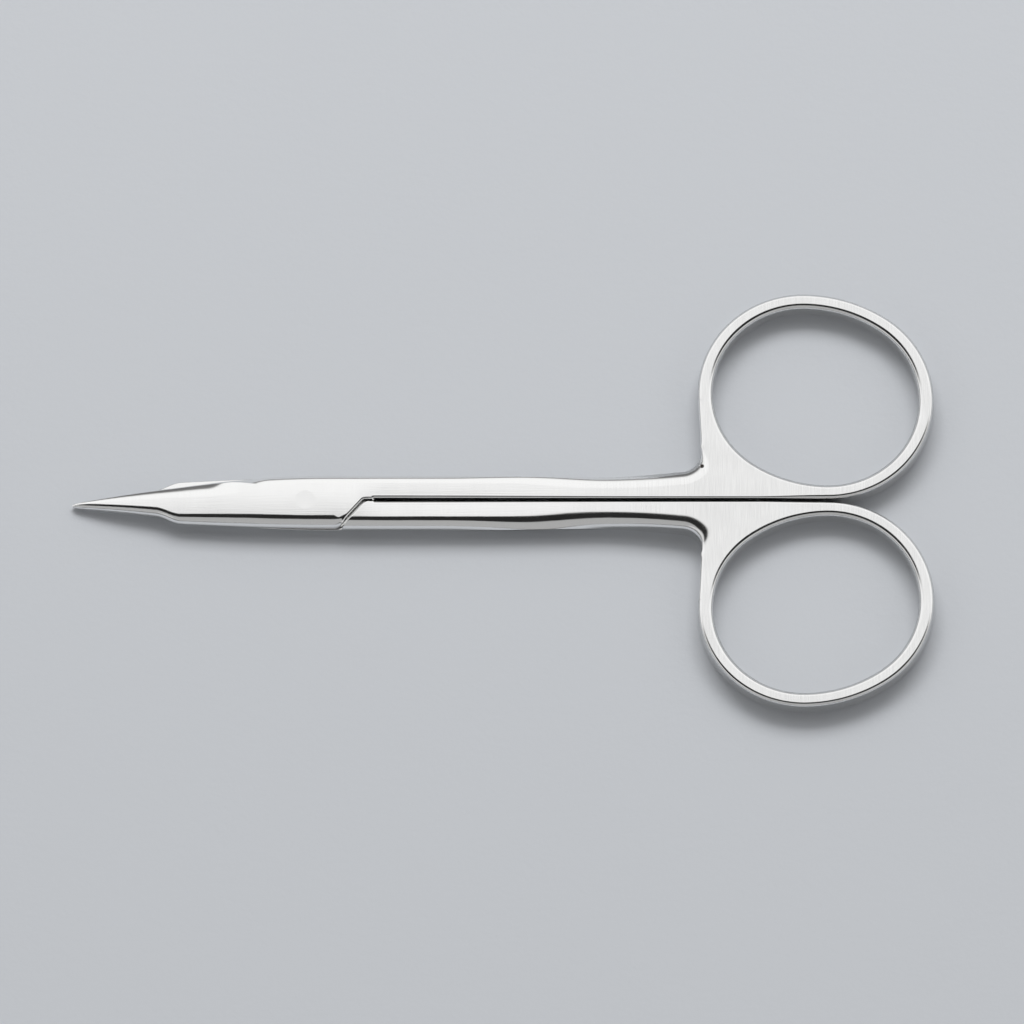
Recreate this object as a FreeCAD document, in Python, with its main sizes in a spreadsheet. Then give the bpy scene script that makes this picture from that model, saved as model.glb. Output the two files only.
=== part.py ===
import FreeCAD, Part
import math
import os
import Sketcher
from FreeCAD import Vector

# Dissecting scissors, closed, lying flat. Millimetres.
# The pivot axis is Z, the rings lie towards +X, and the resting face is Z = 0.
# Each half is drawn as the marked one lies: its blade above the middle plane of
# the shanks, its shank and ring on the +Y side. The other half is the same
# outline turned over about X, with its blade beneath.

SIZES = {
    # Both laps together, and each shank and ring
    "thickness": 3.0,
    "split_gap": 0.34,
    # Lap and shoulder, in plan
    "root_reach": 3.0,
    "shoulder_reach": 8.1,
    "shoulder_angle": 48.6,
    "shoulder_round": 1.3,
    "lap_clearance": 0.3,
    "corner_round": 1.8,
    # Shank
    "shank_half_width": 3.8,
    "shank_straight": 22.0,
    "shank_bend_radius": 400.0,
    "waist_reach": 40.1,
    "waist_half_width": 3.566,
    "waist_radius": 100.0,
    "crook_radius": 2.75,
    # Finger ring, an oval of four arcs
    "ring_reach": 68.26,
    "ring_end_offset": 1.7,
    "ring_end_radius": 14.14,
    "ring_side_radius": 20.1,
    "ring_tilt": 18.0,
    "ring_width": 2.0,
    "ring_side_lean": 3.0,
    # Rounded edges
    "shank_round": 1.4,
    "ring_round": 0.5,
    "ring_ease": 0.35,
    "finger_ease_across": 0.55,
    "finger_ease_down": 0.45,
    "split_round": 0.15,
    "split_round_reach": 60.0,
    # Blade, measured from the pivot towards the point
    "blade_length": 31.1,
    "blade_root": 5.0,
    "taper_end": 12.0,
    "taper_slope": 0.042,
    "edge_bend_end": 14.3,
    "edge_slope": 0.137,
    "spine_half_width": 3.64,
    "spine_bend_end": 13.1,
    "spine_slope": 0.055,
    "relief_start": 16.6,
    "relief_end": 19.9,
    "bevel_end": 10.0,
    "bevel_share": 0.45,
    "bevel_curve": 4.0,
    "hollow": 0.04,
    "curve_start": 19.3,
    "curve_radius": 68.0,
    "nose_length": 0.9,
    "nose_share": 0.94,
    # Pivot screw
    "screw_diameter": 2.6,
    "head_diameter": 4.2,
    "head_angle": 90.0,
    "screw_clearance": 0.03,
    "slot_width": 0.6,
    "slot_depth": 0.45,
}

HALF = "Sizes.thickness / 2"
GAP = "Sizes.split_gap / 2"
HEAD_DEPTH = "(Sizes.head_diameter - Sizes.screw_diameter) / (2 * tan(Sizes.head_angle / 2))"
SMALL = 1e-6
ROOT_STEPS = 4
BLADE_STEPS = 36
NOSE_SHARES = (0.7, 0.4, 0.17, 0)

doc = FreeCAD.newDocument("dissecting_scissors")
sheet = doc.addObject("Spreadsheet::Sheet", "Sizes")
for row, (name, value) in enumerate(SIZES.items(), start=1):
    sheet.set(f"A{row}", name)
    sheet.set(f"B{row}", str(value))
    sheet.setAlias(f"B{row}", name)
doc.recompute()


def plane(body, role):
    return next(f for f in body.Origin.OriginFeatures if f.Role == role)


def new_sketch(body, role, name, offset=None):
    """A sketch on one of the body's own origin planes, moved along its normal by an expression."""
    sketch = body.newObject("Sketcher::SketchObject", name)
    sketch.AttachmentSupport = [(plane(body, role), "")]
    sketch.MapMode = "FlatFace"
    if offset:
        sketch.setExpression(".AttachmentOffset.Base.z", offset)
    return sketch


# Sketch helpers

def value(expression):
    """What an expression of sizes comes to, to draw a sketch near its solution."""
    return float(sheet.evalExpression(expression))


def arc(centre, radius, start, end):
    circle = Part.Circle(Vector(*centre, 0), Vector(0, 0, 1), radius)
    return Part.ArcOfCircle(circle, math.radians(start), math.radians(end))


def line(start, end):
    return Part.LineSegment(Vector(*start, 0), Vector(*end, 0))


def join(sketch, first, second, kind="Tangent"):
    """Join the two nearest ends of two neighbours in the outline."""
    ends = [(a, b) for a in (1, 2) for b in (1, 2)]
    gaps = [sketch.getPoint(first, a).distanceToPoint(sketch.getPoint(second, b)) for a, b in ends]
    a, b = ends[gaps.index(min(gaps))]
    sketch.addConstraint(Sketcher.Constraint(kind, first, a, second, b))


def bind(sketch, kind, where, expression):
    """A dimension whose value follows the sheet."""
    start = value(expression)
    if kind == "Angle":
        start = math.radians(start)
    index = sketch.addConstraint(Sketcher.Constraint(kind, *where, start))
    sketch.setExpression(f"Constraints[{index}]", expression)


def bind_point(sketch, geometry, end, across=None, up=None):
    """Place a point by its distances from the sketch's origin."""
    if across:
        bind(sketch, "DistanceX", (-1, 1, geometry, end), across)
    if up:
        bind(sketch, "DistanceY", (-1, 1, geometry, end), up)


def rule(sketch, kind, *where):
    sketch.addConstraint(Sketcher.Constraint(kind, *where))


# The finger ring, an oval of four arcs whose long axis falls towards the free end

END_ACROSS = "Sizes.ring_end_offset * cos(Sizes.ring_tilt)"
END_UP = "Sizes.ring_end_offset * sin(Sizes.ring_tilt)"
RING_LOW = f"(Sizes.ring_reach + {END_ACROSS} - Sizes.ring_ease)"
RING_TOUCH = (
    f"({GAP} + Sizes.ring_end_radius * (1 - sin(Sizes.ring_side_lean))"
    f" + 2 * {END_UP} - Sizes.ring_ease)"
)


def oval(end_radius, side_radius):
    """The oval's four arcs from its right end anticlockwise, and its middle."""
    tilt = value("Sizes.ring_tilt")
    across = value(END_ACROSS)
    up = value(END_UP)
    centre = (value("Sizes.ring_reach"), value(f"{GAP} + Sizes.ring_end_radius + {END_UP}"))
    right = (centre[0] + across, centre[1] - up)
    left = (centre[0] - across, centre[1] + up)
    swing = math.degrees(math.asin(value("Sizes.ring_end_offset") / (side_radius - end_radius)))
    depth = (side_radius - end_radius) * math.cos(math.radians(swing))
    lean = math.radians(90 - tilt)
    below = (centre[0] - depth * math.cos(lean), centre[1] - depth * math.sin(lean))
    above = (centre[0] + depth * math.cos(lean), centre[1] + depth * math.sin(lean))
    first = 90 - tilt - swing
    second = 90 - tilt + swing
    return (
        arc(right, end_radius, second - 180, first),
        arc(below, side_radius, first, second),
        arc(left, end_radius, second, first + 180),
        arc(above, side_radius, first + 180, second + 180),
    )


def bind_oval(sketch, right, left):
    """Set the two end arcs' centres. The first one's height is left to the split line it touches."""
    bind_point(sketch, right, 3, across=f"Sizes.ring_reach + {END_ACROSS}")
    bind(sketch, "DistanceX", (left, 3, right, 3), f"2 * {END_ACROSS}")
    bind(sketch, "DistanceY", (right, 3, left, 3), f"2 * {END_UP}")


def finger_hole(body, name):
    sketch = new_sketch(body, "XY_Plane", name)
    end_radius = "Sizes.ring_end_radius - Sizes.ring_width"
    side_radius = "Sizes.ring_side_radius - Sizes.ring_width"
    sketch.addGeometry(list(oval(value(end_radius), value(side_radius))), False)
    for side in range(4):
        join(sketch, side, (side + 1) % 4)
    for end in (0, 2):
        bind(sketch, "Radius", (end,), end_radius)
    for side in (1, 3):
        bind(sketch, "Radius", (side,), side_radius)
    bind_oval(sketch, 0, 2)
    bind_point(sketch, 0, 3, up=f"{GAP} + Sizes.ring_end_radius")
    return sketch


# The plan outline of lap, shank and ring

LAP_CROSSING = (
    "Sizes.shoulder_reach - Sizes.lap_clearance * sin(Sizes.shoulder_angle)"
    " + (Sizes.split_gap - Sizes.lap_clearance * cos(Sizes.shoulder_angle)) / tan(Sizes.shoulder_angle)"
)
LAP_ROUND = "Sizes.shoulder_round + Sizes.lap_clearance"


def handle_outline(body, name):
    """Anticlockwise from the root's spine corner: lap, split, ring, crook and shank."""
    sketch = new_sketch(body, "XY_Plane", name)
    root = value("Sizes.root_reach")
    gap = value(GAP)
    slant = value("Sizes.shoulder_angle")
    run = math.radians(slant)
    spine = -value("Sizes.spine_half_width")
    width = value("Sizes.shank_half_width")
    crossing = value(LAP_CROSSING)
    lap_round = value(LAP_ROUND)
    corner = value("Sizes.corner_round")
    straight = value("Sizes.shank_straight")
    waist = value("Sizes.waist_reach")
    waist_y = value("Sizes.waist_half_width")
    bend = value("Sizes.shank_bend_radius")
    waist_radius = value("Sizes.waist_radius")
    crook = value("Sizes.crook_radius")
    lean = value("Sizes.ring_side_lean")

    # The lap's slanted end, rounded at both corners
    corner_x = crossing - (gap - spine) / math.tan(run)
    corner_centre = (corner_x - corner * math.tan(run / 2), spine + corner)
    notch_centre = (crossing + lap_round * math.tan(run / 2), gap - lap_round)
    corner_end = (corner_centre[0] + corner * math.sin(run), corner_centre[1] - corner * math.cos(run))
    notch_start = (notch_centre[0] - lap_round * math.sin(run), notch_centre[1] + lap_round * math.cos(run))

    # The ring's free side, and the crook that runs from it into the shank
    right, side, left, _ = oval(value("Sizes.ring_end_radius"), value("Sizes.ring_side_radius"))
    left_end = math.radians(180 + lean)
    touch = left.Center + Vector(math.cos(left_end), math.sin(left_end), 0) * left.Radius
    crook_x = touch.x - crook + (touch.y - waist_y) * math.tan(math.radians(lean))
    crook_y = waist_y + waist_radius - math.sqrt((waist_radius - crook) ** 2 - (crook_x - waist) ** 2)
    reach = math.degrees(math.atan2(crook_x - waist, waist_y + waist_radius - crook_y))
    slope = math.radians(1)
    bend_end = (straight + bend * math.sin(slope), width - bend * (1 - math.cos(slope)))
    waist_start = (waist - waist_radius * math.sin(slope), waist_y + waist_radius * (1 - math.cos(slope)))
    split = value("Sizes.split_round_reach")
    low = right.Center.x

    pieces = [
        line((root, spine), (corner_centre[0], spine)),
        arc(corner_centre, corner, -90, slant - 90),
        line(corner_end, notch_start),
        arc(notch_centre, lap_round, 90, 90 + slant),
        line((notch_centre[0], gap), (split, gap)),
        line((split, gap), (low, gap)),
        arc((right.Center.x, right.Center.y), right.Radius, -90, math.degrees(right.LastParameter)),
        side,
        arc((left.Center.x, left.Center.y), left.Radius, math.degrees(left.FirstParameter), 180 + lean),
        line((touch.x, touch.y), (crook_x + crook, crook_y)),
        arc((crook_x, crook_y), crook, reach - 90, lean),
        arc((waist, waist_y + waist_radius), waist_radius, -91, reach - 90),
        line(waist_start, bend_end),
        arc((straight, width - bend), bend, 89, 90),
        line((straight, width), (root, width)),
        line((root, width), (root, spine)),
    ]
    sketch.addGeometry(pieces, False)
    (spine_line, corner_arc, slant_line, notch_arc, split_line, ring_line, right_arc, side_arc,
     left_arc, lean_line, crook_arc, waist_arc, narrow_line, bend_arc, shank_line, root_line) = range(16)
    chain = [spine_line, corner_arc, slant_line, notch_arc, split_line]
    for first, second in zip(chain, chain[1:]):
        join(sketch, first, second)
    join(sketch, split_line, ring_line, "Coincident")
    chain = [ring_line, right_arc, side_arc, left_arc, lean_line, crook_arc,
             waist_arc, narrow_line, bend_arc, shank_line]
    for first, second in zip(chain, chain[1:]):
        join(sketch, first, second)
    join(sketch, shank_line, root_line, "Coincident")
    join(sketch, root_line, spine_line, "Coincident")

    for level in (spine_line, split_line, ring_line, shank_line):
        rule(sketch, "Horizontal", level)
    rule(sketch, "Vertical", root_line)
    bind_point(sketch, root_line, 1, across="Sizes.root_reach", up="Sizes.shank_half_width")
    bind_point(sketch, spine_line, 1, up="-Sizes.spine_half_width")
    bind(sketch, "Angle", (slant_line,), "Sizes.shoulder_angle")
    bind(sketch, "Radius", (corner_arc,), "Sizes.corner_round")
    bind(sketch, "Radius", (notch_arc,), LAP_ROUND)
    bind_point(sketch, notch_arc, 3,
               across=f"{LAP_CROSSING} + ({LAP_ROUND}) * tan(Sizes.shoulder_angle / 2)")
    bind_point(sketch, split_line, 2, across="Sizes.split_round_reach", up=GAP)
    bind(sketch, "Radius", (right_arc,), "Sizes.ring_end_radius")
    bind(sketch, "Radius", (side_arc,), "Sizes.ring_side_radius")
    rule(sketch, "Equal", right_arc, left_arc)
    bind_oval(sketch, right_arc, left_arc)
    bind(sketch, "Radius", (crook_arc,), "Sizes.crook_radius")
    bind(sketch, "Radius", (waist_arc,), "Sizes.waist_radius")
    bind_point(sketch, waist_arc, 3, across="Sizes.waist_reach",
               up="Sizes.waist_half_width + Sizes.waist_radius")
    bind(sketch, "Radius", (bend_arc,), "Sizes.shank_bend_radius")
    bind_point(sketch, bend_arc, 3, across="Sizes.shank_straight")
    bind(sketch, "Angle", (-1, 1, lean_line, 1), "Sizes.ring_side_lean - 90")
    return sketch


def lap_region(body, name):
    """What is cut from under the lap, up to the shoulder where the shank gets its full thickness."""
    sketch = new_sketch(body, "XY_Plane", name)
    slant = value("Sizes.shoulder_angle")
    run = math.radians(slant)
    gap = value(GAP)
    reach = value("Sizes.shoulder_reach")
    curve = value("Sizes.shoulder_round")
    clear = 2 * value("Sizes.shank_half_width")
    centre = (reach + curve * math.tan(run / 2), gap + curve)
    touch = (centre[0] - curve * math.sin(run), centre[1] - curve * math.cos(run))
    top = (reach - (clear - gap) / math.tan(run), clear)
    far = value("Sizes.split_round_reach")
    pieces = [
        line(top, touch),
        arc(centre, curve, 270 - slant, 270),
        line((centre[0], gap), (far, gap)),
        line((far, gap), (far, -clear)),
        line((far, -clear), (-clear, -clear)),
        line((-clear, -clear), (-clear, clear)),
        line((-clear, clear), top),
    ]
    sketch.addGeometry(pieces, False)
    shoulder, turn, split, right, bottom, left, upper = range(7)
    join(sketch, shoulder, turn)
    join(sketch, turn, split)
    for first, second in ((split, right), (right, bottom), (bottom, left), (left, upper), (upper, shoulder)):
        join(sketch, first, second, "Coincident")
    for level in (split, bottom, upper):
        rule(sketch, "Horizontal", level)
    for upright in (right, left):
        rule(sketch, "Vertical", upright)
    bind(sketch, "Angle", (shoulder,), "-Sizes.shoulder_angle")
    bind(sketch, "Radius", (turn,), "Sizes.shoulder_round")
    bind_point(sketch, turn, 3,
               across="Sizes.shoulder_reach + Sizes.shoulder_round * tan(Sizes.shoulder_angle / 2)")
    bind_point(sketch, split, 2, across="Sizes.split_round_reach", up=GAP)
    bind_point(sketch, left, 1, across="-2 * Sizes.shank_half_width", up="-2 * Sizes.shank_half_width")
    bind_point(sketch, left, 2, up="2 * Sizes.shank_half_width")
    return sketch


def ring_place(body, name):
    """Where the ring stands free: above its left arm's end, and past its lowest point."""
    sketch = new_sketch(body, "XY_Plane", name)
    low = value(RING_LOW)
    touch = value(RING_TOUCH)
    near = value("Sizes.waist_reach")
    far = low + 2 * value("Sizes.ring_end_radius")
    bottom = -value("Sizes.shank_half_width")
    top = touch + 2 * value("Sizes.ring_end_radius")
    corners = [(low, bottom), (far, bottom), (far, top), (near, top), (near, touch), (low, touch)]
    sketch.addGeometry([line(a, b) for a, b in zip(corners, corners[1:] + corners[:1])], False)
    for side in range(6):
        join(sketch, side, (side + 1) % 6, "Coincident")
    for level in (0, 2, 4):
        rule(sketch, "Horizontal", level)
    for upright in (1, 3, 5):
        rule(sketch, "Vertical", upright)
    bind_point(sketch, 0, 1, across=RING_LOW, up="-Sizes.shank_half_width")
    bind_point(sketch, 2, 1, across=f"{RING_LOW} + 2 * Sizes.ring_end_radius",
               up=f"{RING_TOUCH} + 2 * Sizes.ring_end_radius")
    bind_point(sketch, 4, 1, across="Sizes.waist_reach", up=RING_TOUCH)
    return sketch


def handle_blank(name):
    """Lap, shank and ring of one thickness, with the finger hole through it."""
    body = doc.addObject("PartDesign::Body", f"{name}_handle")
    outline = handle_outline(body, f"{name}_outline")
    blank = body.newObject("PartDesign::Pad", f"{name}_blank")
    blank.Profile = outline
    blank.Midplane = True
    blank.Refine = False
    blank.setExpression("Length", "Sizes.thickness")
    opening = body.newObject("PartDesign::Pocket", f"{name}_finger_opening")
    opening.Profile = finger_hole(body, f"{name}_finger_outline")
    opening.Midplane = True
    opening.Type = "ThroughAll"
    opening.Refine = False
    body.Tip = opening
    doc.recompute()

    easing = body.newObject("PartDesign::Chamfer", f"{name}_finger_easing")
    easing.Base = (opening, finger_edges(opening.Shape))
    easing.ChamferType = "Two distances"
    easing.Refine = False
    easing.setExpression("Size", "Sizes.finger_ease_across")
    easing.setExpression("Size2", "Sizes.finger_ease_down")
    body.Tip = easing
    doc.recompute()
    return body


def finger_edges(shape):
    """The end arcs of the finger hole. The side arcs are eased with them, being tangent."""
    radius = value("Sizes.ring_end_radius - Sizes.ring_width")
    return [
        f"Edge{number}"
        for number, edge in enumerate(shape.Edges, start=1)
        if isinstance(edge.Curve, Part.Circle)
        and abs(edge.Curve.Radius - radius) < SMALL
        and edge.BoundBox.ZLength < SMALL
    ]


def outer_radii(shape):
    """The flat faces' outer edges, each with its rounding at both ends."""
    half = value(HALF)
    gap = value(GAP)
    root = value("Sizes.root_reach")
    spine = value("Sizes.spine_half_width")
    split_end = value("Sizes.split_round_reach")
    crook_start = value("Sizes.ring_reach - Sizes.ring_end_radius - Sizes.crook_radius")
    shank = value("Sizes.shank_round")
    ring = value("Sizes.ring_round")
    split = value("Sizes.split_round")

    def radius_at(point):
        if point.y > gap + split:
            return shank if point.x < crook_start else ring
        if point.y > -spine / 2:
            return split if point.x < split_end + half else ring
        return shank if point.y < split - spine else (shank + split) / 2

    radii = []
    for face in shape.Faces:
        if not isinstance(face.Surface, Part.Plane) or abs(abs(face.CenterOfMass.z) - half) > SMALL:
            continue
        for edge in face.OuterWire.Edges:
            ends = [vertex.Point for vertex in edge.Vertexes]
            if max(abs(end.x - root) for end in ends) < SMALL:
                continue
            number = next(n for n, other in enumerate(shape.Edges, start=1) if other.isSame(edge))
            radii.append((number, radius_at(ends[0]), radius_at(ends[1])))
    return radii


def handle(name):
    """The blank, its shank rounded, its ring eased with a narrow flat, cut away under its lap."""
    blank = handle_blank(name)
    rounded = doc.addObject("Part::Fillet", f"{name}_handle_rounded")
    rounded.Base = blank
    rounded.Edges = outer_radii(blank.Shape)
    eased = doc.addObject("Part::Chamfer", f"{name}_handle_eased")
    eased.Base = blank
    ease = value("Sizes.ring_ease")
    eased.Edges = [(number, ease, ease) for number, _, _ in rounded.Edges]
    place = doc.addObject("PartDesign::Body", f"{name}_ring_place")
    free = place.newObject("PartDesign::Pad", f"{name}_ring_free")
    free.Profile = ring_place(place, f"{name}_ring_place_outline")
    free.Midplane = True
    free.setExpression("Length", "2 * Sizes.thickness")
    place.Tip = free
    doc.recompute()
    shank = doc.addObject("Part::Cut", f"{name}_shank")
    shank.Base = rounded
    shank.Tool = place
    ring = doc.addObject("Part::Common", f"{name}_ring")
    ring.Base = eased
    ring.Tool = place
    joined = doc.addObject("Part::Fuse", f"{name}_shank_and_ring")
    joined.Base = shank
    joined.Tool = ring
    joined.Refine = True
    doc.recompute()
    under = doc.addObject("PartDesign::Body", f"{name}_lap")
    region = under.newObject("PartDesign::Pad", f"{name}_lap_depth")
    region.Profile = lap_region(under, f"{name}_lap_region")
    region.Reversed = True
    region.setExpression("Length", "Sizes.thickness")
    under.Tip = region
    cut = doc.addObject("Part::Cut", f"{name}_handle_cut")
    cut.Base = joined
    cut.Tool = under
    doc.recompute()
    return cut


# Blade, a loft through sections across it, each at its own distance from the pivot

def swing(reach, start, end, slope):
    """How far a side has turned inwards: an arc from start to end, then straight."""
    bent = f"min({reach}; {end})"
    return f"({slope}) * (pow({bent} - ({start}); 2) / (2 * ({end} - ({start}))) + {reach} - {bent})"


def fade(reach, start, end):
    """From 0 at start to 1 at end, level at both."""
    share = f"max(0; min(1; ({reach} - {start}) / ({end} - {start})))"
    return f"(pow({share}; 2) * (3 - 2 * {share}))"


def root_stations():
    """Distances from the pivot of the sections round it."""
    span = "(Sizes.blade_root + Sizes.root_reach)"
    return [f"({span} * {step} / {ROOT_STEPS} - Sizes.root_reach)" for step in range(ROOT_STEPS + 1)]


def blade_stations():
    """The same along the blade, and a few closer ones that round its point off."""
    nose_start = "(Sizes.blade_length - Sizes.nose_length)"
    steps = [
        f"(Sizes.blade_root + ({nose_start} - Sizes.blade_root) * {step} / {BLADE_STEPS})"
        for step in range(BLADE_STEPS + 1)
    ]
    return steps + [f"(Sizes.blade_length - Sizes.nose_length * {share})" for share in NOSE_SHARES]


def section(body, name, reach, curve_side, hollow):
    """One section, looking along the blade: flat inner side, cutting edge on +Y, rounded spine on -Y."""
    sketch = new_sketch(body, "YZ_Plane", name, f"-{reach}")
    past_nose = f"max(0; ({reach} - Sizes.blade_length) / Sizes.nose_length + 1)"
    nose = f"sqrt(1 - Sizes.nose_share * pow({past_nose}; 2))"
    edge_turn = swing(reach, "-Sizes.root_reach", "Sizes.edge_bend_end", "Sizes.edge_slope")
    edge_line = f"(Sizes.shank_half_width - {edge_turn})"
    spine_turn = swing(reach, "-Sizes.root_reach", "Sizes.spine_bend_end", "Sizes.spine_slope")
    spine_line = f"(Sizes.spine_half_width - {spine_turn})"
    relieved = fade(reach, "Sizes.relief_start", "Sizes.relief_end")
    edge = f"{nose} * {edge_line}"
    spine = f"{nose} * ({spine_line} + {relieved} * ({edge_line} - {spine_line}))"
    past_root = f"max(Sizes.blade_root; {reach})"
    taper = swing(past_root, "Sizes.blade_root", "Sizes.taper_end", "Sizes.taper_slope")
    full = f"({nose} * ({HALF} - {taper}))"
    curve = f"{curve_side} * pow(max(0; {reach} - Sizes.curve_start); 2) / (2 * Sizes.curve_radius)"
    sunk = f"{hollow} * {full} / ({HALF})"
    inner = f"{curve} + {sunk}"
    outer = f"{curve} + {full}"
    rounding = f"({full} * Sizes.shank_round / ({HALF}))"
    land_height = f"{full} - {rounding} - {sunk}"
    bevelled = fade(reach, "Sizes.blade_root", "Sizes.bevel_end")
    bevel = f"{rounding} + {bevelled} * ({full} * Sizes.bevel_share - {rounding})"
    bevel_radius = f"{rounding} + {bevelled} * (Sizes.bevel_curve - {rounding})"

    low = value(inner)
    high = value(outer)
    right = value(edge)
    left = -value(spine)
    turn = value(rounding)
    land = value(land_height)
    sloped = value(bevel)
    bulge = value(bevel_radius)
    corner = Vector(right, low + land, 0)
    top = Vector(right - sloped, high, 0)
    chord = top - corner
    half_chord = chord.Length / 2
    inward = Vector(-chord.y, chord.x, 0).normalize()
    middle = (corner + top) / 2 + inward * math.sqrt(bulge ** 2 - half_chord ** 2)
    first = math.degrees(math.atan2(corner.y - middle.y, corner.x - middle.x))
    last = math.degrees(math.atan2(top.y - middle.y, top.x - middle.x))
    sketch.addGeometry([
        line((left, low), (right, low)),
        line((right, low), (right, low + land)),
        arc((middle.x, middle.y), bulge, first, last),
        line((right - sloped, high), (left + turn, high)),
        arc((left + turn, high - turn), turn, 90, 180),
        line((left, high - turn), (left, low)),
    ], False)
    flat, edge_land, edge_arc, back, spine_arc, spine_land = range(6)
    join(sketch, flat, edge_land, "Coincident")
    join(sketch, edge_land, edge_arc, "Coincident")
    join(sketch, edge_arc, back, "Coincident")
    join(sketch, back, spine_arc)
    join(sketch, spine_arc, spine_land)
    join(sketch, spine_land, flat, "Coincident")
    for level in (flat, back):
        rule(sketch, "Horizontal", level)
    for upright in (edge_land, spine_land):
        rule(sketch, "Vertical", upright)
    bind_point(sketch, flat, 1, across=f"-{spine}", up=inner)
    bind_point(sketch, flat, 2, across=edge)
    bind_point(sketch, back, 1, up=outer)
    bind(sketch, "Radius", (spine_arc,), rounding)
    bind(sketch, "DistanceX", (back, 1, flat, 2), bevel)
    bind(sketch, "DistanceY", (flat, 2, edge_land, 2), land_height)
    bind(sketch, "Radius", (edge_arc,), bevel_radius)
    return sketch


def loft(body, name, reaches, curve_side, hollow):
    """Sections at the given distances from the pivot, joined by narrow strips into one length of blade."""
    sections = [
        section(body, f"{name}_section_{number}", reach, curve_side, hollow)
        for number, reach in enumerate(reaches)
    ]
    length = body.newObject("PartDesign::AdditiveLoft", name)
    length.Profile = sections[0]
    length.Sections = sections[1:]
    length.Ruled = True
    body.Tip = length
    doc.recompute()
    return length


def screw_hole(body, name, head):
    """The pivot hole, square to the lap, with or without a seat for the screw's head."""
    centre = new_sketch(body, "XY_Plane", f"{name}_hole_centre", HALF)
    circle = Part.Circle(Vector(0, 0, 0), Vector(0, 0, 1), value("Sizes.screw_diameter / 2"))
    centre.addGeometry(circle, False)
    rule(centre, "Coincident", 0, 3, -1, 1)
    bind(centre, "Diameter", (0,), "Sizes.screw_diameter")
    doc.recompute()
    hole = body.newObject("PartDesign::Hole", f"{name}_screw_hole")
    hole.Profile = centre
    hole.DepthType = "ThroughAll"
    clearance = "2 * Sizes.screw_clearance" if head else "0 * Sizes.screw_clearance"
    hole.setExpression("Diameter", f"Sizes.screw_diameter + {clearance}")
    if head:
        hole.HoleCutType = "Countersink"
        hole.HoleCutCustomValues = True
        hole.setExpression("HoleCutDiameter", f"Sizes.head_diameter + {clearance}")
        hole.setExpression("HoleCutCountersinkAngle", "Sizes.head_angle")
    body.Tip = hole
    doc.recompute()
    return hole


def half(name, curve_side, head):
    """One forging: handle and blade in one, drawn on the middle plane of the shanks."""
    cut = handle(name)
    blade = doc.addObject("PartDesign::Body", f"{name}_blade")
    loft(blade, f"{name}_blade_root", root_stations(), curve_side, "0")
    loft(blade, f"{name}_blade_length", blade_stations(), curve_side, "Sizes.hollow")
    screw_hole(blade, name, head)
    whole = doc.addObject("Part::Fuse", f"{name}_half")
    whole.Label = f"{name}_half"
    whole.Base = cut
    whole.Tool = blade
    whole.Refine = True
    whole.setExpression(".Placement.Base.z", HALF)
    doc.recompute()
    return whole


# Pivot screw, its head in the lower half's outer face and its end flush with the upper half's

def pivot_screw():
    body = doc.addObject("PartDesign::Body", "pivot_screw")
    body.Label = "pivot_screw"
    profile = new_sketch(body, "XZ_Plane", "screw_profile")
    shank = value("Sizes.screw_diameter / 2")
    head = value("Sizes.head_diameter / 2")
    depth = value(HEAD_DEPTH)
    length = value("Sizes.thickness")
    corners = [(0, 0), (head, 0), (shank, depth), (shank, length), (0, length)]
    sides = [line(a, b) for a, b in zip(corners, corners[1:] + corners[:1])]
    profile.addGeometry(sides, False)
    for side in range(5):
        join(profile, side, (side + 1) % 5, "Coincident")
    face, cone, wall, end, axis = range(5)
    for level in (face, end):
        rule(profile, "Horizontal", level)
    for upright in (wall, axis):
        rule(profile, "Vertical", upright)
    rule(profile, "Coincident", face, 1, -1, 1)
    bind_point(profile, face, 2, across="Sizes.head_diameter / 2")
    bind_point(profile, wall, 1, across="Sizes.screw_diameter / 2", up=HEAD_DEPTH)
    bind_point(profile, end, 1, up="Sizes.thickness")
    turned = body.newObject("PartDesign::Revolution", "screw_turned")
    turned.Profile = profile
    turned.ReferenceAxis = (profile, ["V_Axis"])
    turned.Angle = 360
    body.Tip = turned
    doc.recompute()

    slot = new_sketch(body, "XY_Plane", "slot_outline")
    reach = value("Sizes.head_diameter")
    width = value("Sizes.slot_width / 2")
    corners = [(-reach, -width), (reach, -width), (reach, width), (-reach, width)]
    slot.addGeometry([line(a, b) for a, b in zip(corners, corners[1:] + corners[:1])], False)
    for side in range(4):
        join(slot, side, (side + 1) % 4, "Coincident")
    for level in (0, 2):
        rule(slot, "Horizontal", level)
    for upright in (1, 3):
        rule(slot, "Vertical", upright)
    bind_point(slot, 0, 1, across="-Sizes.head_diameter", up="-Sizes.slot_width / 2")
    bind_point(slot, 2, 1, across="Sizes.head_diameter", up="Sizes.slot_width / 2")
    cut = body.newObject("PartDesign::Pocket", "driver_slot")
    cut.Profile = slot
    cut.Reversed = True
    cut.setExpression("Length", "Sizes.slot_depth")
    body.Tip = cut
    doc.recompute()
    if cut.Shape.Volume >= turned.Shape.Volume:
        raise RuntimeError("the driver slot cuts nothing")
    return body


upper = half("upper", -1, head=False)
lower = half("lower", 1, head=True)
lower.Placement = FreeCAD.Placement(lower.Placement.Base, FreeCAD.Rotation(Vector(1, 0, 0), 180))
screw = pivot_screw()
doc.recompute()

for item in doc.Objects:
    if "Invalid" in item.State or "Error" in item.State:
        raise RuntimeError(f"{item.Name} failed: {item.State}")
os.makedirs("parts", exist_ok=True)
for node in (upper, lower, screw):
    shape = node.Shape
    if shape.isNull() or not shape.isValid():
        raise RuntimeError(f"{node.Label} has no sound shape")
    shape.exportStep(f"parts/{node.Label}.step")
    print(f"{node.Label}: {len(shape.Solids)} solid, {shape.Volume:.2f} mm3")
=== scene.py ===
import math

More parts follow.
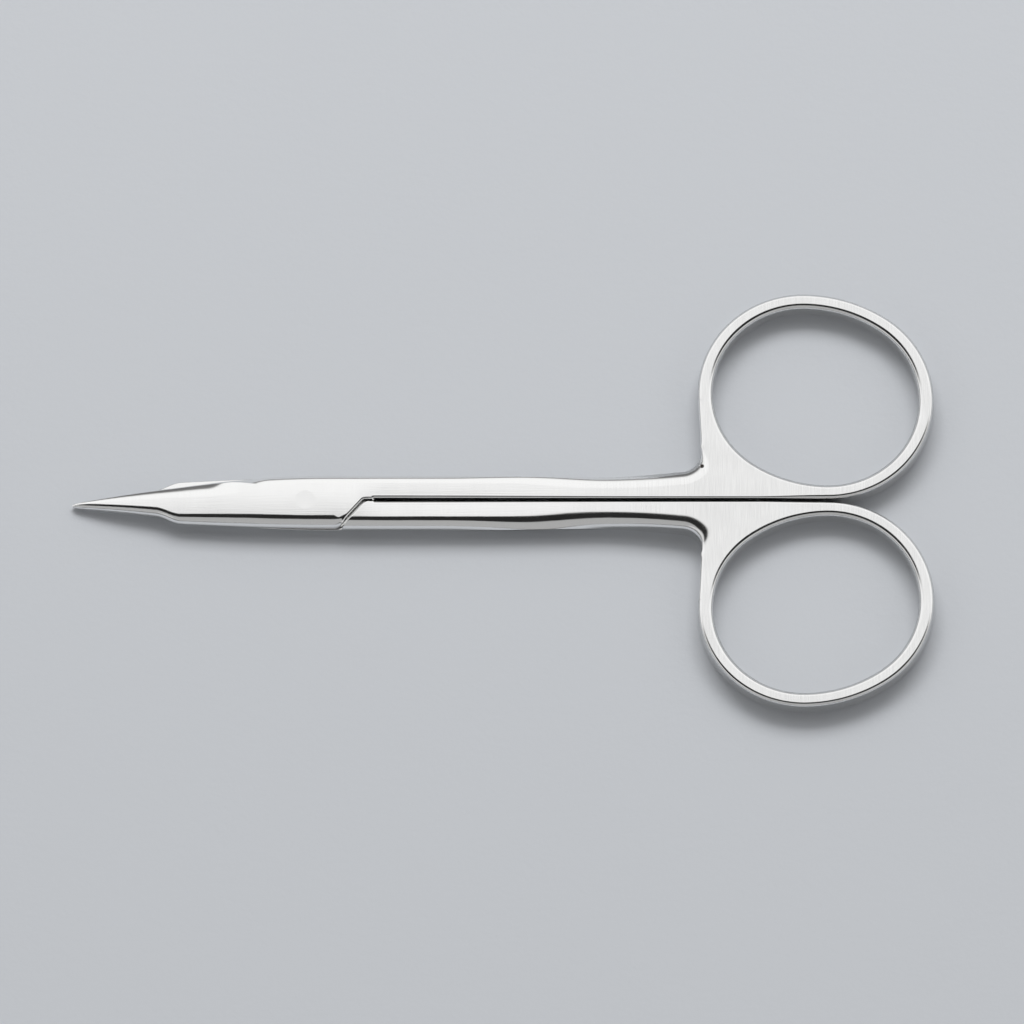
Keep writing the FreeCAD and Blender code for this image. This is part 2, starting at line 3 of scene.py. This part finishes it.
import bpy
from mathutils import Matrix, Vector

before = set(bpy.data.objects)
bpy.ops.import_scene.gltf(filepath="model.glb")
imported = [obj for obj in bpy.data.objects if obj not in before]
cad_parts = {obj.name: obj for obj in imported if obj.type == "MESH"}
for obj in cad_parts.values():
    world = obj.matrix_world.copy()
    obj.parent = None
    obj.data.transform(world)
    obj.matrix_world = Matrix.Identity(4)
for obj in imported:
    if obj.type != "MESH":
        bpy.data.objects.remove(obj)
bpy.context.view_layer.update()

# Camera: a long lens on the lower ring's side, looking steeply down
ELEVATION = math.radians(69)
DISTANCE = 6.0
VIEW_WIDTH = 0.1368
AIM = Vector((0.02765, -0.00179, 0.003))
SENSOR = 36
CLIP_START = 1.0
CLIP_END = 20

camera_data = bpy.data.cameras.new("camera")
camera_data.sensor_width = SENSOR
camera_data.lens = SENSOR * DISTANCE / VIEW_WIDTH
camera_data.clip_start = CLIP_START
camera_data.clip_end = CLIP_END
camera = bpy.data.objects.new("camera", camera_data)
camera.location = AIM + DISTANCE * Vector((0, -math.cos(ELEVATION), math.sin(ELEVATION)))
camera.rotation_euler = (math.pi / 2 - ELEVATION, 0, 0)
bpy.context.scene.collection.objects.link(camera)
bpy.context.scene.camera = camera
bpy.context.scene.view_settings.view_transform = "Standard"


# Material helpers

class Nodes:
    """Adds nodes to one tree, with their settings and links given by name."""

    def __init__(self, tree):
        self.tree = tree
        tree.nodes.clear()

    def add(self, kind, inputs=None, **settings):
        node = self.tree.nodes.new(kind)
        for name, setting in settings.items():
            setattr(node, name, setting)
        for name, source in (inputs or {}).items():
            socket = node.inputs[name]
            if isinstance(source, bpy.types.NodeSocket):
                self.tree.links.new(source, socket)
            else:
                socket.default_value = source
        return node

    def math(self, operation, *values, clamp=False):
        inputs = dict(enumerate(values))
        return self.add("ShaderNodeMath", inputs, operation=operation, use_clamp=clamp).outputs[0]

    def total(self, *values):
        result = values[0]
        for value in values[1:]:
            result = self.math("ADD", result, value)
        return result

    def product(self, *values):
        result = values[0]
        for value in values[1:]:
            result = self.math("MULTIPLY", result, value)
        return result

    def minus(self, value, taken):
        return self.math("SUBTRACT", value, taken)

    def distance(self, run, rise):
        return self.math("SQRT", self.total(self.product(run, run), self.product(rise, rise)))

    def choose(self, flag, no, yes):
        return self.math("MULTIPLY_ADD", flag, yes - no, no)

    def ramp(self, value, low, high, start=0, end=1):
        node = self.add(
            "ShaderNodeMapRange",
            {"Value": value, "From Min": low, "From Max": high, "To Min": start, "To Max": end},
            interpolation_type="SMOOTHSTEP",
        )
        return node.outputs["Result"]

    def axes(self, vector):
        return self.add("ShaderNodeSeparateXYZ", {"Vector": vector}).outputs

    def vector(self, operation, inputs):
        return self.add("ShaderNodeVectorMath", inputs, operation=operation).outputs["Vector"]

    def to_world(self, vector, kind):
        node = self.add("ShaderNodeVectorTransform", {"Vector": vector}, vector_type=kind,
                        convert_from="OBJECT", convert_to="WORLD")
        return node.outputs["Vector"]


def new_material(name):
    material = bpy.data.materials.new(name)
    material.use_nodes = True
    return material, Nodes(material.node_tree)


# Studio, painted by direction: bright on the far side and at both ends, dark overhead, grey
# on the camera's side, dimmer towards the horizon. Limits are level distance over height.
WHITE = 1.0
GREY = 0.42
DARK = 0.02
LOWEST = 0.001
CEILING_ENDS = (0.9, 1.2)
CEILING_FAR_SIDE = (0.245, 0.29)
CEILING_NEAR_SIDE = (-0.56, -0.46)
FAR_WALL = (0.25, 0.44)
FAR_WALL_START = 0.7
HORIZON = (1.5, 7.0)
HORIZON_SHARE = 0.25

world = bpy.data.worlds.new("studio")
bpy.context.scene.world = world
world.use_nodes = True
sky = Nodes(world.node_tree)
axes = sky.axes(sky.add("ShaderNodeTexCoord").outputs["Generated"])
height = sky.math("MAXIMUM", axes["Z"], LOWEST)
across = sky.math("ABSOLUTE", sky.math("DIVIDE", axes["X"], height))
along = sky.math("DIVIDE", axes["Y"], height)
shade = sky.product(sky.ramp(across, *CEILING_ENDS, 1, 0), sky.ramp(along, *CEILING_FAR_SIDE, 1, 0))
near = sky.ramp(along, *CEILING_NEAR_SIDE, 1, 0)
shaded = sky.add("ShaderNodeMapRange", {"Value": near, "To Min": DARK, "To Max": GREY}).outputs["Result"]
glow = sky.product(
    sky.ramp(along, *FAR_WALL, WHITE * FAR_WALL_START, WHITE),
    sky.ramp(sky.distance(across, along), *HORIZON, 1, HORIZON_SHARE),
)
level = sky.total(sky.product(shade, shaded), sky.product(sky.minus(1.0, shade), glow))
background = sky.add("ShaderNodeBackground", {"Color": (1, 1, 1, 1), "Strength": level})
sky.add("ShaderNodeOutputWorld", {"Surface": background.outputs[0]})

# A broad soft key light from behind the scissors, for their shadow on the floor
KEY_PLACE = (0.05, 0.9, 0.9)
KEY_SIZE = (1.2, 0.5)
KEY_WATTS = 12

key_data = bpy.data.lights.new("key", "AREA")
key_data.shape = "RECTANGLE"
key_data.size, key_data.size_y = KEY_SIZE
key_data.energy = KEY_WATTS
key = bpy.data.objects.new("key", key_data)
key.location = KEY_PLACE
key.visible_glossy = False
key.rotation_euler = (AIM - key.location).to_track_quat("-Z", "Y").to_euler()
bpy.context.scene.collection.objects.link(key)

# Floor, a hair beneath the scissors so that no two faces share a plane
FLOOR_COLOUR = (0.56, 0.58, 0.61)
FLOOR_ROUGHNESS = 0.7
FLOOR_GRAIN = 900.0
FLOOR_REACH = 3.0
FLOOR_LEVEL = -0.00002

material, nodes = new_material("floor")
where = nodes.add("ShaderNodeTexCoord").outputs["Object"]
grain = nodes.add("ShaderNodeTexNoise", {
    "Vector": where,
    "Scale": FLOOR_GRAIN,
    "Detail": 4.0,
    "Roughness": 0.6,
})
bump = nodes.add("ShaderNodeBump", {"Height": grain.outputs["Fac"], "Strength": 0.15, "Distance": 0.0002})
shader = nodes.add("ShaderNodeBsdfPrincipled", {
    "Base Color": (*FLOOR_COLOUR, 1),
    "Roughness": FLOOR_ROUGHNESS,
    "Normal": bump.outputs["Normal"],
})
nodes.add("ShaderNodeOutputMaterial", {"Surface": shader.outputs[0]})
floor_mesh = bpy.data.meshes.new("floor")
corners = [(x * FLOOR_REACH, y * FLOOR_REACH, FLOOR_LEVEL) for x, y in ((-1, -1), (1, -1), (1, 1), (-1, 1))]
floor_mesh.from_pydata(corners, [], [(0, 1, 2, 3)])
floor = bpy.data.objects.new("floor", floor_mesh)
floor_mesh.materials.append(material)
bpy.context.scene.collection.objects.link(floor)


# Steel. The real edges are worn rounder than the solids' edges, so the shading leans outwards
# along their outlines. Unless a name says otherwise, lengths are millimetres in the part's
# coordinates: reach along X from the pivot, out along Y towards the half's own ring. Pairs are
# the limits of a smooth ramp.

# Outlines of waist, crook, finger ring, split, lap and cutting edge
WAIST_RADIUS = 100.0
WAIST_CENTRE = (40.1, 103.566)
CROOK_RADIUS = 2.75
CROOK_CENTRE = (50.18, 6.84)
CROOK_START = 50.5
RING_CENTRE = (68.26, 14.835)
RING_TILT = math.radians(18)
RING_OFFSET = 1.7
RING_END = 14.14
RING_SIDE = 20.1
RING_WIDTH = 2.0
RING_FREE = (69.5, 14.3)
SIDE_SWING = math.asin(RING_OFFSET / (RING_SIDE - RING_END))
SIDE_DEPTH = (RING_SIDE - RING_END) * math.cos(SIDE_SWING)
MIDDLE = 1.5
SPLIT = 0.17
LAP_ANGLE = math.radians(48.6)
LAP_CROSSING = 8.0
LAP_END = 9.0
EDGE_START = 3.8
EDGE_ROOT = 3.0
EDGE_BEND = 14.3
EDGE_SLOPE = 0.137
PIT = (53.03, 4.79, 3.0)

# Width of the worn strips, how steeply they lean, and where they start and end
FACET = 0.03
OUTER_WEAR = 0.5
INNER_WEAR = 0.6
WEB_WEAR = (2.0, 0.5)
WEB_NARROWS = (4.3, 7.0)
WEB_POWER = 1.4
WEB_START = (18.0, 41.0)
WEB_END = (53.6, 54.4)
WEB_FOOT = (0.5, 0.9)
WEB_TOP = (7.0, 8.5)
EDGE_SHARE = 0.85
EDGE_LEAST = 0.2
EDGE_POWER = 1.3
EDGE_FADE = (0.7, 1.0)
EDGE_GROWS = (7.0, 13.0)
SPLIT_WEAR = (0.4, 0.28)
SPLIT_NARROWS = (10.0, 50.0)
SPLIT_WIDENS = 60.0
SPLIT_EXTRA = 0.2
SPLIT_START = (8.7, 9.3)
SPLIT_FADE = (0.45, 0.65)
LAP_WEAR = 0.45
LAP_FADE = 0.8
LAP_FOOT = (4.6, 5.4)
LAP_HEAD = (8.8, 9.4)
LAP_OUT = (0.0, 0.6)
OUTER_FACE = (0.1, 0.3)
BEVEL_METRES = 0.00016
BEVEL_START = (2.3, 3.0)

# The flat faces' slight crown
CROWN = 0.013
CROWN_LIMIT = 2.2
CROWN_MIDDLE = 1.9
CROWN_SHIFT = (6.0, 11.0)
CROWN_END = (44.0, 52.0)


def toward(nodes, across, up, centre):
    """Direction from a point to a centre, and how far it is."""
    run = nodes.minus(centre[0], across)
    rise = nodes.minus(centre[1], up)
    length = nodes.distance(run, rise)
    return nodes.math("DIVIDE", run, length), nodes.math("DIVIDE", rise, length), length


def edge_share(nodes, inset, wear):
    """How far the shading leans outwards: fully at the edge, not at all past the worn strip."""
    past = nodes.minus(inset, FACET)
    return nodes.math("SUBTRACT", 1.0, nodes.math("DIVIDE", past, wear), clamp=True)


def ring_lean(nodes, reach, out):
    """Lean along reach and out at the ring's inner and outer edges, and where it holds."""
    across = nodes.minus(reach, RING_CENTRE[0])
    up = nodes.minus(out, RING_CENTRE[1])
    cosine = math.cos(RING_TILT)
    sine = math.sin(RING_TILT)
    long = nodes.minus(nodes.product(across, cosine), nodes.product(up, sine))
    short = nodes.total(nodes.product(across, sine), nodes.product(up, cosine))
    long_side = nodes.math("SIGN", long)
    short_side = nodes.math("SIGN", short)
    long = nodes.math("ABSOLUTE", long)
    short = nodes.math("ABSOLUTE", short)
    slope = math.tan(SIDE_SWING)
    on_side = nodes.math("LESS_THAN", long, nodes.math("MULTIPLY_ADD", short, slope, slope * SIDE_DEPTH))
    centre = (nodes.choose(on_side, RING_OFFSET, 0.0), nodes.choose(on_side, 0.0, -SIDE_DEPTH))
    inward, inward_up, length = toward(nodes, long, short, centre)
    from_outside = nodes.minus(nodes.choose(on_side, RING_END, RING_SIDE), length)
    from_hole = nodes.minus(RING_WIDTH, from_outside)
    past_web = nodes.math("GREATER_THAN", reach, RING_FREE[0])
    over_web = nodes.math("GREATER_THAN", out, RING_FREE[1])
    free = nodes.math("MAXIMUM", past_web, over_web)
    outer = nodes.product(free, edge_share(nodes, from_outside, OUTER_WEAR))
    lean = nodes.minus(edge_share(nodes, from_hole, INNER_WEAR), outer)
    by_long = nodes.product(inward, long_side, lean)
    by_short = nodes.product(inward_up, short_side, lean)
    lean_reach = nodes.total(nodes.product(by_long, cosine), nodes.product(by_short, sine))
    lean_out = nodes.minus(nodes.product(by_short, cosine), nodes.product(by_long, sine))
    near = nodes.math("MAXIMUM", free, nodes.math("LESS_THAN", from_hole, RING_WIDTH / 2))
    holds = nodes.product(near, nodes.math("GREATER_THAN", reach, CROOK_START))
    return lean_reach, lean_out, holds


def web_lean(nodes, reach, out):
    """The same along the waist of the shank and round the crook, where the worn strip narrows."""
    past = nodes.math("GREATER_THAN", reach, CROOK_START)
    centre = [nodes.choose(past, waist, crook) for waist, crook in zip(WAIST_CENTRE, CROOK_CENTRE)]
    inward, inward_up, length = toward(nodes, reach, out, centre)
    inset = nodes.minus(length, nodes.choose(past, WAIST_RADIUS, CROOK_RADIUS))
    wear = nodes.ramp(out, *WEB_NARROWS, *WEB_WEAR)
    lean = nodes.math("POWER", edge_share(nodes, inset, wear), WEB_POWER)
    holds = nodes.product(
        nodes.ramp(reach, *WEB_START),
        nodes.ramp(reach, *WEB_END, 1, 0),
        nodes.ramp(out, *WEB_FOOT),
        nodes.ramp(out, *WEB_TOP, 1, 0),
    )
    return nodes.product(inward, lean), nodes.product(inward_up, lean), holds


def blade_lean(nodes, reach, out, outer):
    """The same along the cutting edge, on the blade's outer face."""
    along = nodes.product(reach, -1.0)
    bent = nodes.math("MINIMUM", along, EDGE_BEND)
    run = nodes.total(bent, EDGE_ROOT)
    curve = nodes.math("DIVIDE", nodes.product(run, run), 2 * (EDGE_BEND + EDGE_ROOT))
    turned = nodes.total(curve, nodes.minus(along, bent))
    edge = nodes.math("MULTIPLY_ADD", turned, -EDGE_SLOPE, EDGE_START)
    inset = nodes.minus(edge, out)
    wear = nodes.math("MULTIPLY_ADD", edge, EDGE_SHARE, EDGE_LEAST)
    lean = nodes.math("POWER", edge_share(nodes, inset, wear), EDGE_POWER)
    strip = nodes.ramp(nodes.math("DIVIDE", inset, wear), *EDGE_FADE, 1, 0)
    return 0.0, lean, nodes.product(nodes.ramp(along, *EDGE_GROWS), strip, outer)


def split_lean(nodes, reach, out):
    """The same along the straight split between the shanks."""
    inset = nodes.minus(out, SPLIT)
    wear = nodes.total(
        nodes.ramp(reach, *SPLIT_NARROWS, *SPLIT_WEAR),
        nodes.ramp(reach, SPLIT_WIDENS, RING_FREE[0], 0.0, SPLIT_EXTRA),
    )
    holds = nodes.product(
        nodes.ramp(reach, *SPLIT_START),
        nodes.math("LESS_THAN", reach, RING_FREE[0]),
        nodes.ramp(inset, *SPLIT_FADE, 1, 0),
    )
    return 0.0, nodes.product(edge_share(nodes, inset, wear), -1.0), holds


def lap_lean(nodes, reach, out, outer):
    """The same along the slanted end of the lap, on the half's outer face."""
    slant = (math.sin(LAP_ANGLE), -math.cos(LAP_ANGLE))
    run = nodes.product(nodes.minus(reach, LAP_CROSSING), slant[0])
    rise = nodes.product(nodes.minus(out, SPLIT), slant[1])
    inset = nodes.product(nodes.total(run, rise), -1.0)
    lean = edge_share(nodes, inset, LAP_WEAR)
    holds = nodes.product(
        nodes.ramp(inset, LAP_WEAR * LAP_FADE, LAP_WEAR, 1, 0),
        outer,
        nodes.ramp(reach, *LAP_FOOT),
        nodes.ramp(reach, *LAP_HEAD, 1, 0),
        nodes.ramp(out, *LAP_OUT, 1, 0),
    )
    return nodes.product(lean, slant[0]), nodes.product(lean, slant[1]), holds


def crowned_normal(nodes, reach, out, side):
    """The surface's direction with narrow round edges, its flat faces slightly crowned."""
    radius = nodes.ramp(nodes.distance(reach, out), *BEVEL_START, 0.0, BEVEL_METRES)
    plain = nodes.add("ShaderNodeBevel", {"Radius": radius}, samples=8).outputs["Normal"]
    middle = nodes.ramp(reach, *CROWN_SHIFT, 0.0, CROWN_MIDDLE)
    across = nodes.math("MAXIMUM", nodes.minus(out, middle), -CROWN_LIMIT)
    across = nodes.math("MINIMUM", across, CROWN_LIMIT)
    crown = nodes.product(across, CROWN * side, nodes.ramp(reach, *CROWN_END, 1, 0))
    tilt = nodes.add("ShaderNodeCombineXYZ", {"Y": crown}).outputs[0]
    return nodes.vector("ADD", {0: plain, 1: nodes.to_world(tilt, "VECTOR")})


def worn_normal(nodes, where, side):
    """The surface's direction, leaning outwards along the worn strips."""
    axes = nodes.axes(where)
    reach = axes["X"]
    out = nodes.product(axes["Y"], side)
    facing = nodes.axes(nodes.add("ShaderNodeNewGeometry").outputs["True Normal"])["Z"]
    outer = nodes.ramp(nodes.product(facing, side), *OUTER_FACE)
    lean_reach = lean_out = held = 0.0
    for part_reach, part_out, holds in (
        ring_lean(nodes, reach, out),
        web_lean(nodes, reach, out),
        blade_lean(nodes, reach, out, outer),
        split_lean(nodes, reach, out),
        lap_lean(nodes, reach, out, outer),
    ):
        lean_reach = nodes.total(lean_reach, nodes.product(part_reach, holds))
        lean_out = nodes.total(lean_out, nodes.product(part_out, holds))
        held = nodes.math("MAXIMUM", held, holds)
    square = nodes.total(nodes.product(lean_reach, lean_reach), nodes.product(lean_out, lean_out))
    upright = nodes.math("SQRT", nodes.math("SUBTRACT", 1.0, square, clamp=True))

    # The worn strip turns up or down with its face on blade and lap, and with its level elsewhere
    on_lap = nodes.math("LESS_THAN", reach, LAP_END)
    turned_up = nodes.product(nodes.math("GREATER_THAN", facing, 0.0), on_lap)
    above = nodes.product(nodes.math("GREATER_THAN", axes["Z"], MIDDLE), nodes.minus(1.0, on_lap))
    up_or_down = nodes.math("MULTIPLY_ADD", nodes.total(turned_up, above), 2.0, -1.0)
    worn = nodes.add("ShaderNodeCombineXYZ", {
        "X": lean_reach,
        "Y": nodes.product(lean_out, side),
        "Z": nodes.product(upright, up_or_down),
    }).outputs[0]
    mixed = nodes.add("ShaderNodeMix", {
        "Factor": held,
        "A": crowned_normal(nodes, reach, out, side),
        "B": nodes.to_world(worn, "NORMAL"),
    }, data_type="VECTOR").outputs["Result"]
    return nodes.vector("NORMALIZE", {0: mixed})


# Brushing, hairlines, wear and the pit
MILLIMETRES = 1000.0
BRUSH_GROWS = (30.0, 56.0)
BRUSH_LEAST = 0.25
BRUSH_STRETCH = (11.0, 0.3, 1.0)
BRUSH_ROUGHNESS = 0.05
BRUSH_DIMMING = 0.07
HAIR_STRETCH = (0.25, 7.0, 3.0)
GRAIN_DEPTH = 0.00002
CLOUD_SCALE = 0.22
CLOUD_SPREAD = 0.2
NOISE_SPAN = (0.3, 0.7)
PIT_WALL = (0.15, 0.3)
PIT_DEPTH = 0.0002
PIT_COLOUR = (0.06, 0.05, 0.045)


def stretched_noise(nodes, where, stretch, detail):
    mapped = nodes.add("ShaderNodeMapping", {"Vector": where, "Scale": stretch}).outputs["Vector"]
    noise = nodes.add("ShaderNodeTexNoise", {"Vector": mapped, "Scale": 1.0, "Detail": detail})
    return noise.outputs["Fac"]


def mixed_colour(nodes, share, low, high):
    mix = nodes.add("ShaderNodeMix", {"Factor": share, "A": low, "B": high}, data_type="RGBA")
    return mix.outputs["Result"]


def steel(name, colour, roughness, side):
    """Polished steel, brushed across towards the rings, with faint hairlines and cloudy wear."""
    material, nodes = new_material(name)
    place = nodes.add("ShaderNodeTexCoord").outputs["Object"]
    where = nodes.vector("SCALE", {0: place, "Scale": MILLIMETRES})
    reach = nodes.axes(where)["X"]
    brushed = nodes.ramp(reach, *BRUSH_GROWS, BRUSH_LEAST, 1.0)
    grain = stretched_noise(nodes, where, BRUSH_STRETCH, 3.0)
    hairs = stretched_noise(nodes, where, HAIR_STRETCH, 2.0)
    lines = nodes.product(hairs, nodes.minus(1.0, brushed))
    height = nodes.total(nodes.product(grain, brushed), lines)
    bump = nodes.add("ShaderNodeBump", {"Height": height, "Strength": 0.2, "Distance": GRAIN_DEPTH})
    if side:
        nodes.tree.links.new(worn_normal(nodes, where, side), bump.inputs["Normal"])
    from_pit = nodes.add("ShaderNodeVectorMath", {0: where, 1: PIT}, operation="DISTANCE").outputs["Value"]
    past_pit = nodes.ramp(from_pit, *PIT_WALL)
    dent = nodes.add("ShaderNodeBump", {
        "Height": past_pit,
        "Strength": 0.8,
        "Distance": PIT_DEPTH,
        "Normal": bump.outputs["Normal"],
    })
    cloudy = nodes.add("ShaderNodeTexNoise", {"Vector": where, "Scale": CLOUD_SCALE, "Detail": 4.0})
    smoothest = roughness * (1 - CLOUD_SPREAD)
    roughest = roughness * (1 + CLOUD_SPREAD)
    rough = nodes.total(
        nodes.ramp(cloudy.outputs["Fac"], *NOISE_SPAN, smoothest, roughest),
        nodes.product(brushed, BRUSH_ROUGHNESS),
    )
    dimming = nodes.product(nodes.ramp(grain, *NOISE_SPAN, BRUSH_DIMMING, 0.0), brushed)
    bright = mixed_colour(nodes, nodes.minus(1.0, dimming), (0, 0, 0, 1), (*colour, 1))
    shader = nodes.add("ShaderNodeBsdfPrincipled", {
        "Base Color": mixed_colour(nodes, past_pit, (*PIT_COLOUR, 1), bright),
        "Metallic": 1.0,
        "Roughness": rough,
        "Normal": dent.outputs["Normal"],
    })
    nodes.add("ShaderNodeOutputMaterial", {"Surface": shader.outputs[0]})
    return material


finishes = {
    "upper_half": steel("upper_steel", (0.93, 0.93, 0.925), 0.1, 1.0),
    "lower_half": steel("lower_steel", (0.93, 0.93, 0.925), 0.1, -1.0),
    "pivot_screw": steel("screw_steel", (0.92, 0.92, 0.915), 0.11, 0.0),
}
for name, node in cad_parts.items():
    node.data.materials.clear()
    node.data.materials.append(finishes[name])
